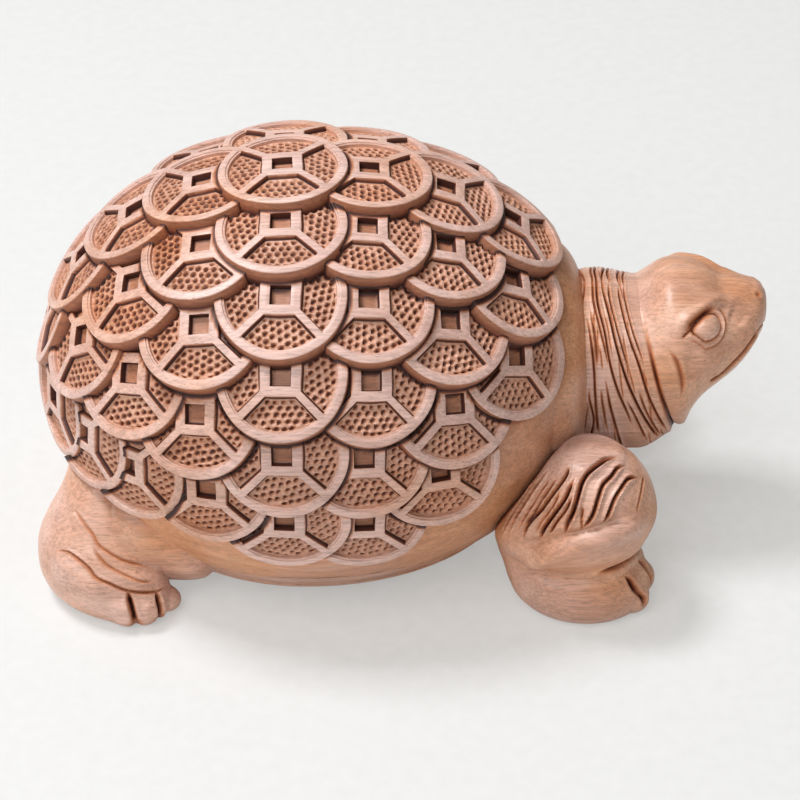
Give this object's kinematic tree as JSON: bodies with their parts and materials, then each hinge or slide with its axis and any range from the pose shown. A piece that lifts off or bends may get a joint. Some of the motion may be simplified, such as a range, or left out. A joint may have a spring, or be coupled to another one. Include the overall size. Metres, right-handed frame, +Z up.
{
  "type": "turtle figurine",
  "caption": "Carved wooden turtle figurine standing on flat feet, its domed shell laid with overlapping round coin scales with square holes, neck folded and head raised.",
  "frame": {"origin": "middle of the figure's outline on the ground it stands on", "axes": "+X towards the head, +Y to the turtle's left, +Z up"},
  "size_m": [0.1785, 0.1174, 0.1035],
  "materials": {
    "shell_wood": "carved, fine sanded and waxed reddish-brown wood",
    "scale_wood": "carved and waxed reddish-brown wood, darker in the sunk panels",
    "limb_wood": "carved, smoothed and polished reddish-brown wood",
    "dowel_wood": "plain turned hardwood dowel"
  },
  "bodies": {
    "root": {"shell_body": "shell_wood", "belly_plate": "shell_wood", "spine_scales": "scale_wood", "right_scale_row_1": "scale_wood", "right_scale_row_2": "scale_wood", "right_scale_row_3": "scale_wood", "right_scale_row_4": "scale_wood", "right_scale_row_5": "scale_wood", "left_scale_row_1": "scale_wood", "left_scale_row_2": "scale_wood", "left_scale_row_3": "scale_wood", "left_scale_row_4": "scale_wood", "left_scale_row_5": "scale_wood", "neck": "limb_wood", "head": "limb_wood", "right_front_leg": "limb_wood", "left_front_leg": "limb_wood", "right_rear_leg": "limb_wood", "left_rear_leg": "limb_wood", "tail": "limb_wood", "neck_dowel": "dowel_wood", "front_leg_dowels": "dowel_wood", "rear_leg_dowels": "dowel_wood", "tail_dowel": "dowel_wood", "belly_dowels": "dowel_wood"}
  },
  "joints": []
}
